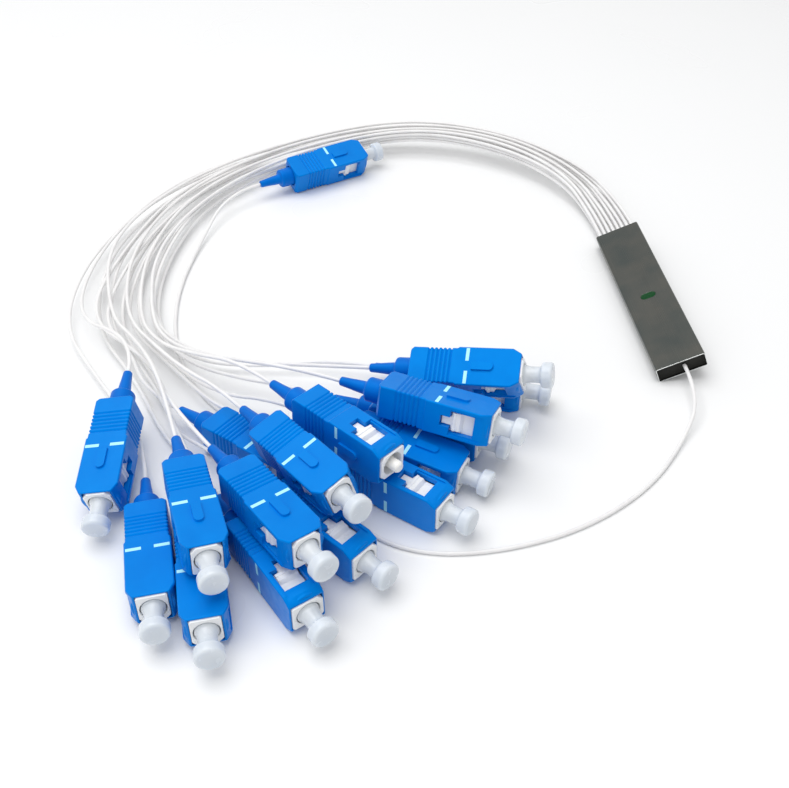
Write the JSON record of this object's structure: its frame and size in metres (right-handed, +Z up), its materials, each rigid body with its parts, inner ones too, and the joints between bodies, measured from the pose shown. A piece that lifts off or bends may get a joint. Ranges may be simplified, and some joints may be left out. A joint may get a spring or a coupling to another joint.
{
  "type": "plc fibre splitter",
  "caption": "Slim steel tube module that splits one light fibre into sixteen, each loose white tube ending in a square blue push-pull plug with a clear dust cap.",
  "frame": {"origin": "on the table under the middle of the module", "axes": "+X along the module towards its output end, +Z up from the table, +Y towards the heap of plugs"},
  "size_m": [0.2025, 0.1558, 0.02],
  "materials": {
    "module_housing": "satin, rounded drawn tube",
    "end_plug": "matt black potting",
    "chip_glass": "polished",
    "glue": "cured, glossy",
    "grip_blue": "moulded, semi-gloss",
    "dust_cap": "translucent, soft",
    "plug_frame": "moulded, semi-gloss",
    "ferrule": "polished ceramic",
    "boot_blue": "moulded, satin",
    "fibre_tube": "extruded, satin"
  },
  "bodies": {
    "module": {"module_housing": "module_housing", "input_end_plug": "end_plug", "output_end_plug": "end_plug", "plc_chip": "chip_glass", "input_fibre_array": "chip_glass", "output_fibre_array": "chip_glass", "glue_fill": "glue", "plug_frames": "plug_frame", "boots": "boot_blue", "ferrules": "ferrule", "cord_input": "fibre_tube", "cord_01": "fibre_tube", "cord_02": "fibre_tube", "cord_03": "fibre_tube", "cord_04": "fibre_tube", "cord_05": "fibre_tube", "cord_06": "fibre_tube", "cord_07": "fibre_tube", "cord_08": "fibre_tube", "cord_09": "fibre_tube", "cord_10": "fibre_tube", "cord_11": "fibre_tube", "cord_12": "fibre_tube", "cord_13": "fibre_tube", "cord_14": "fibre_tube", "cord_15": "fibre_tube", "cord_16": "fibre_tube"},
    "grip_input": {"grip_input": "grip_blue"},
    "grip_01": {"grip_01": "grip_blue"},
    "grip_02": {"grip_02": "grip_blue"},
    "grip_03": {"grip_03": "grip_blue"},
    "grip_04": {"grip_04": "grip_blue"},
    "grip_05": {"grip_05": "grip_blue"},
    "grip_06": {"grip_06": "grip_blue"},
    "grip_07": {"grip_07": "grip_blue"},
    "grip_08": {"grip_08": "grip_blue"},
    "grip_09": {"grip_09": "grip_blue"},
    "grip_10": {"grip_10": "grip_blue"},
    "grip_11": {"grip_11": "grip_blue"},
    "grip_12": {"grip_12": "grip_blue"},
    "grip_13": {"grip_13": "grip_blue"},
    "grip_14": {"grip_14": "grip_blue"},
    "grip_15": {"grip_15": "grip_blue"},
    "grip_16": {"grip_16": "grip_blue"},
    "dust_cap_input": {"dust_cap_input": "dust_cap"},
    "dust_cap_01": {"dust_cap_01": "dust_cap"},
    "dust_cap_02": {"dust_cap_02": "dust_cap"},
    "dust_cap_03": {"dust_cap_03": "dust_cap"},
    "dust_cap_04": {"dust_cap_04": "dust_cap"},
    "dust_cap_05": {"dust_cap_05": "dust_cap"},
    "dust_cap_06": {"dust_cap_06": "dust_cap"},
    "dust_cap_07": {"dust_cap_07": "dust_cap"},
    "dust_cap_08": {"dust_cap_08": "dust_cap"},
    "dust_cap_09": {"dust_cap_09": "dust_cap"},
    "dust_cap_10": {"dust_cap_10": "dust_cap"},
    "dust_cap_11": {"dust_cap_11": "dust_cap"},
    "dust_cap_13": {"dust_cap_13": "dust_cap"},
    "dust_cap_14": {"dust_cap_14": "dust_cap"},
    "dust_cap_15": {"dust_cap_15": "dust_cap"},
    "dust_cap_16": {"dust_cap_16": "dust_cap"}
  },
  "joints": [
    {"name": "grip_slide_input", "type": "slide", "parent": "module", "child": "grip_input", "axis": [0.4462, -0.8949, 0], "range_m": [-0.002, 0]},
    {"name": "cap_pull_input", "type": "slide", "parent": "module", "child": "dust_cap_input", "axis": [0.4462, -0.8949, 0], "range_m": [0, 0.006]},
    {"name": "grip_slide_01", "type": "slide", "parent": "module", "child": "grip_01", "axis": [-0.3256, -0.9455, 0], "range_m": [-0.002, 0]},
    {"name": "cap_pull_01", "type": "slide", "parent": "module", "child": "dust_cap_01", "axis": [-0.3256, -0.9455, 0], "range_m": [0, 0.007]},
    {"name": "grip_slide_02", "type": "slide", "parent": "module", "child": "grip_02", "axis": [-0.4695, -0.8829, 0], "range_m": [-0.002, 0]},
    {"name": "cap_pull_02", "type": "slide", "parent": "module", "child": "dust_cap_02", "axis": [-0.4695, -0.8829, 0], "range_m": [0, 0.007]},
    {"name": "grip_slide_03", "type": "slide", "parent": "module", "child": "grip_03", "axis": [-0.5138, -0.8551, -0.0698], "range_m": [-0.002, 0]},
    {"name": "cap_pull_03", "type": "slide", "parent": "module", "child": "dust_cap_03", "axis": [-0.5138, -0.8551, -0.0698], "range_m": [0, 0.007]},
    {"name": "grip_slide_04", "type": "slide", "parent": "module", "child": "grip_04", "axis": [-0.6293, -0.7771, 0], "range_m": [-0.002, 0]},
    {"name": "cap_pull_04", "type": "slide", "parent": "module", "child": "dust_cap_04", "axis": [-0.6293, -0.7771, 0], "range_m": [0, 0.007]},
    {"name": "grip_slide_05", "type": "slide", "parent": "module", "child": "grip_05", "axis": [-0.7314, -0.682, 0], "range_m": [-0.002, 0]},
    {"name": "cap_pull_05", "type": "slide", "parent": "module", "child": "dust_cap_05", "axis": [-0.7314, -0.682, 0], "range_m": [0, 0.007]},
    {"name": "grip_slide_06", "type": "slide", "parent": "module", "child": "grip_06", "axis": [-0.866, -0.5, 0], "range_m": [-0.002, 0]},
    {"name": "cap_pull_06", "type": "slide", "parent": "module", "child": "dust_cap_06", "axis": [-0.866, -0.5, 0], "range_m": [0, 0.007]},
    {"name": "grip_slide_07", "type": "slide", "parent": "module", "child": "grip_07", "axis": [-0.9893, -0.139, 0.0436], "range_m": [-0.002, 0]},
    {"name": "cap_pull_07", "type": "slide", "parent": "module", "child": "dust_cap_07", "axis": [-0.9893, -0.139, 0.0436], "range_m": [0, 0.007]},
    {"name": "grip_slide_08", "type": "slide", "parent": "module", "child": "grip_08", "axis": [-0.9881, -0.1477, 0.0436], "range_m": [-0.002, 0]},
    {"name": "cap_pull_08", "type": "slide", "parent": "module", "child": "dust_cap_08", "axis": [-0.9881, -0.1477, 0.0436], "range_m": [0, 0.007]},
    {"name": "grip_slide_09", "type": "slide", "parent": "module", "child": "grip_09", "axis": [-0.3378, -0.9281, 0.1564], "range_m": [-0.002, 0]},
    {"name": "cap_pull_09", "type": "slide", "parent": "module", "child": "dust_cap_09", "axis": [-0.3378, -0.9281, 0.1564], "range_m": [0, 0.007]},
    {"name": "grip_slide_10", "type": "slide", "parent": "module", "child": "grip_10", "axis": [-0.4617, -0.8869, -0.0175], "range_m": [-0.002, 0]},
    {"name": "cap_pull_10", "type": "slide", "parent": "module", "child": "dust_cap_10", "axis": [-0.4617, -0.8869, -0.0175], "range_m": [0, 0.007]},
    {"name": "grip_slide_11", "type": "slide", "parent": "module", "child": "grip_11", "axis": [-0.6428, -0.766, 0], "range_m": [-0.002, 0]},
    {"name": "cap_pull_11", "type": "slide", "parent": "module", "child": "dust_cap_11", "axis": [-0.6428, -0.766, 0], "range_m": [0, 0.007]},
    {"name": "grip_slide_12", "type": "slide", "parent": "module", "child": "grip_12", "axis": [-0.7372, -0.6755, -0.0175], "range_m": [-0.002, 0]},
    {"name": "grip_slide_13", "type": "slide", "parent": "module", "child": "grip_13", "axis": [-0.8429, -0.537, 0.0349], "range_m": [-0.002, 0]},
    {"name": "cap_pull_13", "type": "slide", "parent": "module", "child": "dust_cap_13", "axis": [-0.8429, -0.537, 0.0349], "range_m": [0, 0.007]},
    {"name": "grip_slide_14", "type": "slide", "parent": "module", "child": "grip_14", "axis": [-0.827, -0.5578, 0.0698], "range_m": [-0.002, 0]},
    {"name": "cap_pull_14", "type": "slide", "parent": "module", "child": "dust_cap_14", "axis": [-0.827, -0.5578, 0.0698], "range_m": [0, 0.007]},
    {"name": "grip_slide_15", "type": "slide", "parent": "module", "child": "grip_15", "axis": [-0.9853, 0.0689, -0.1564], "range_m": [-0.002, 0]},
    {"name": "cap_pull_15", "type": "slide", "parent": "module", "child": "dust_cap_15", "axis": [-0.9853, 0.0689, -0.1564], "range_m": [0, 0.007]},
    {"name": "grip_slide_16", "type": "slide", "parent": "module", "child": "grip_16", "axis": [-0.9697, -0.2418, 0.0349], "range_m": [-0.002, 0]},
    {"name": "cap_pull_16", "type": "slide", "parent": "module", "child": "dust_cap_16", "axis": [-0.9697, -0.2418, 0.0349], "range_m": [0, 0.007]}
  ]
}
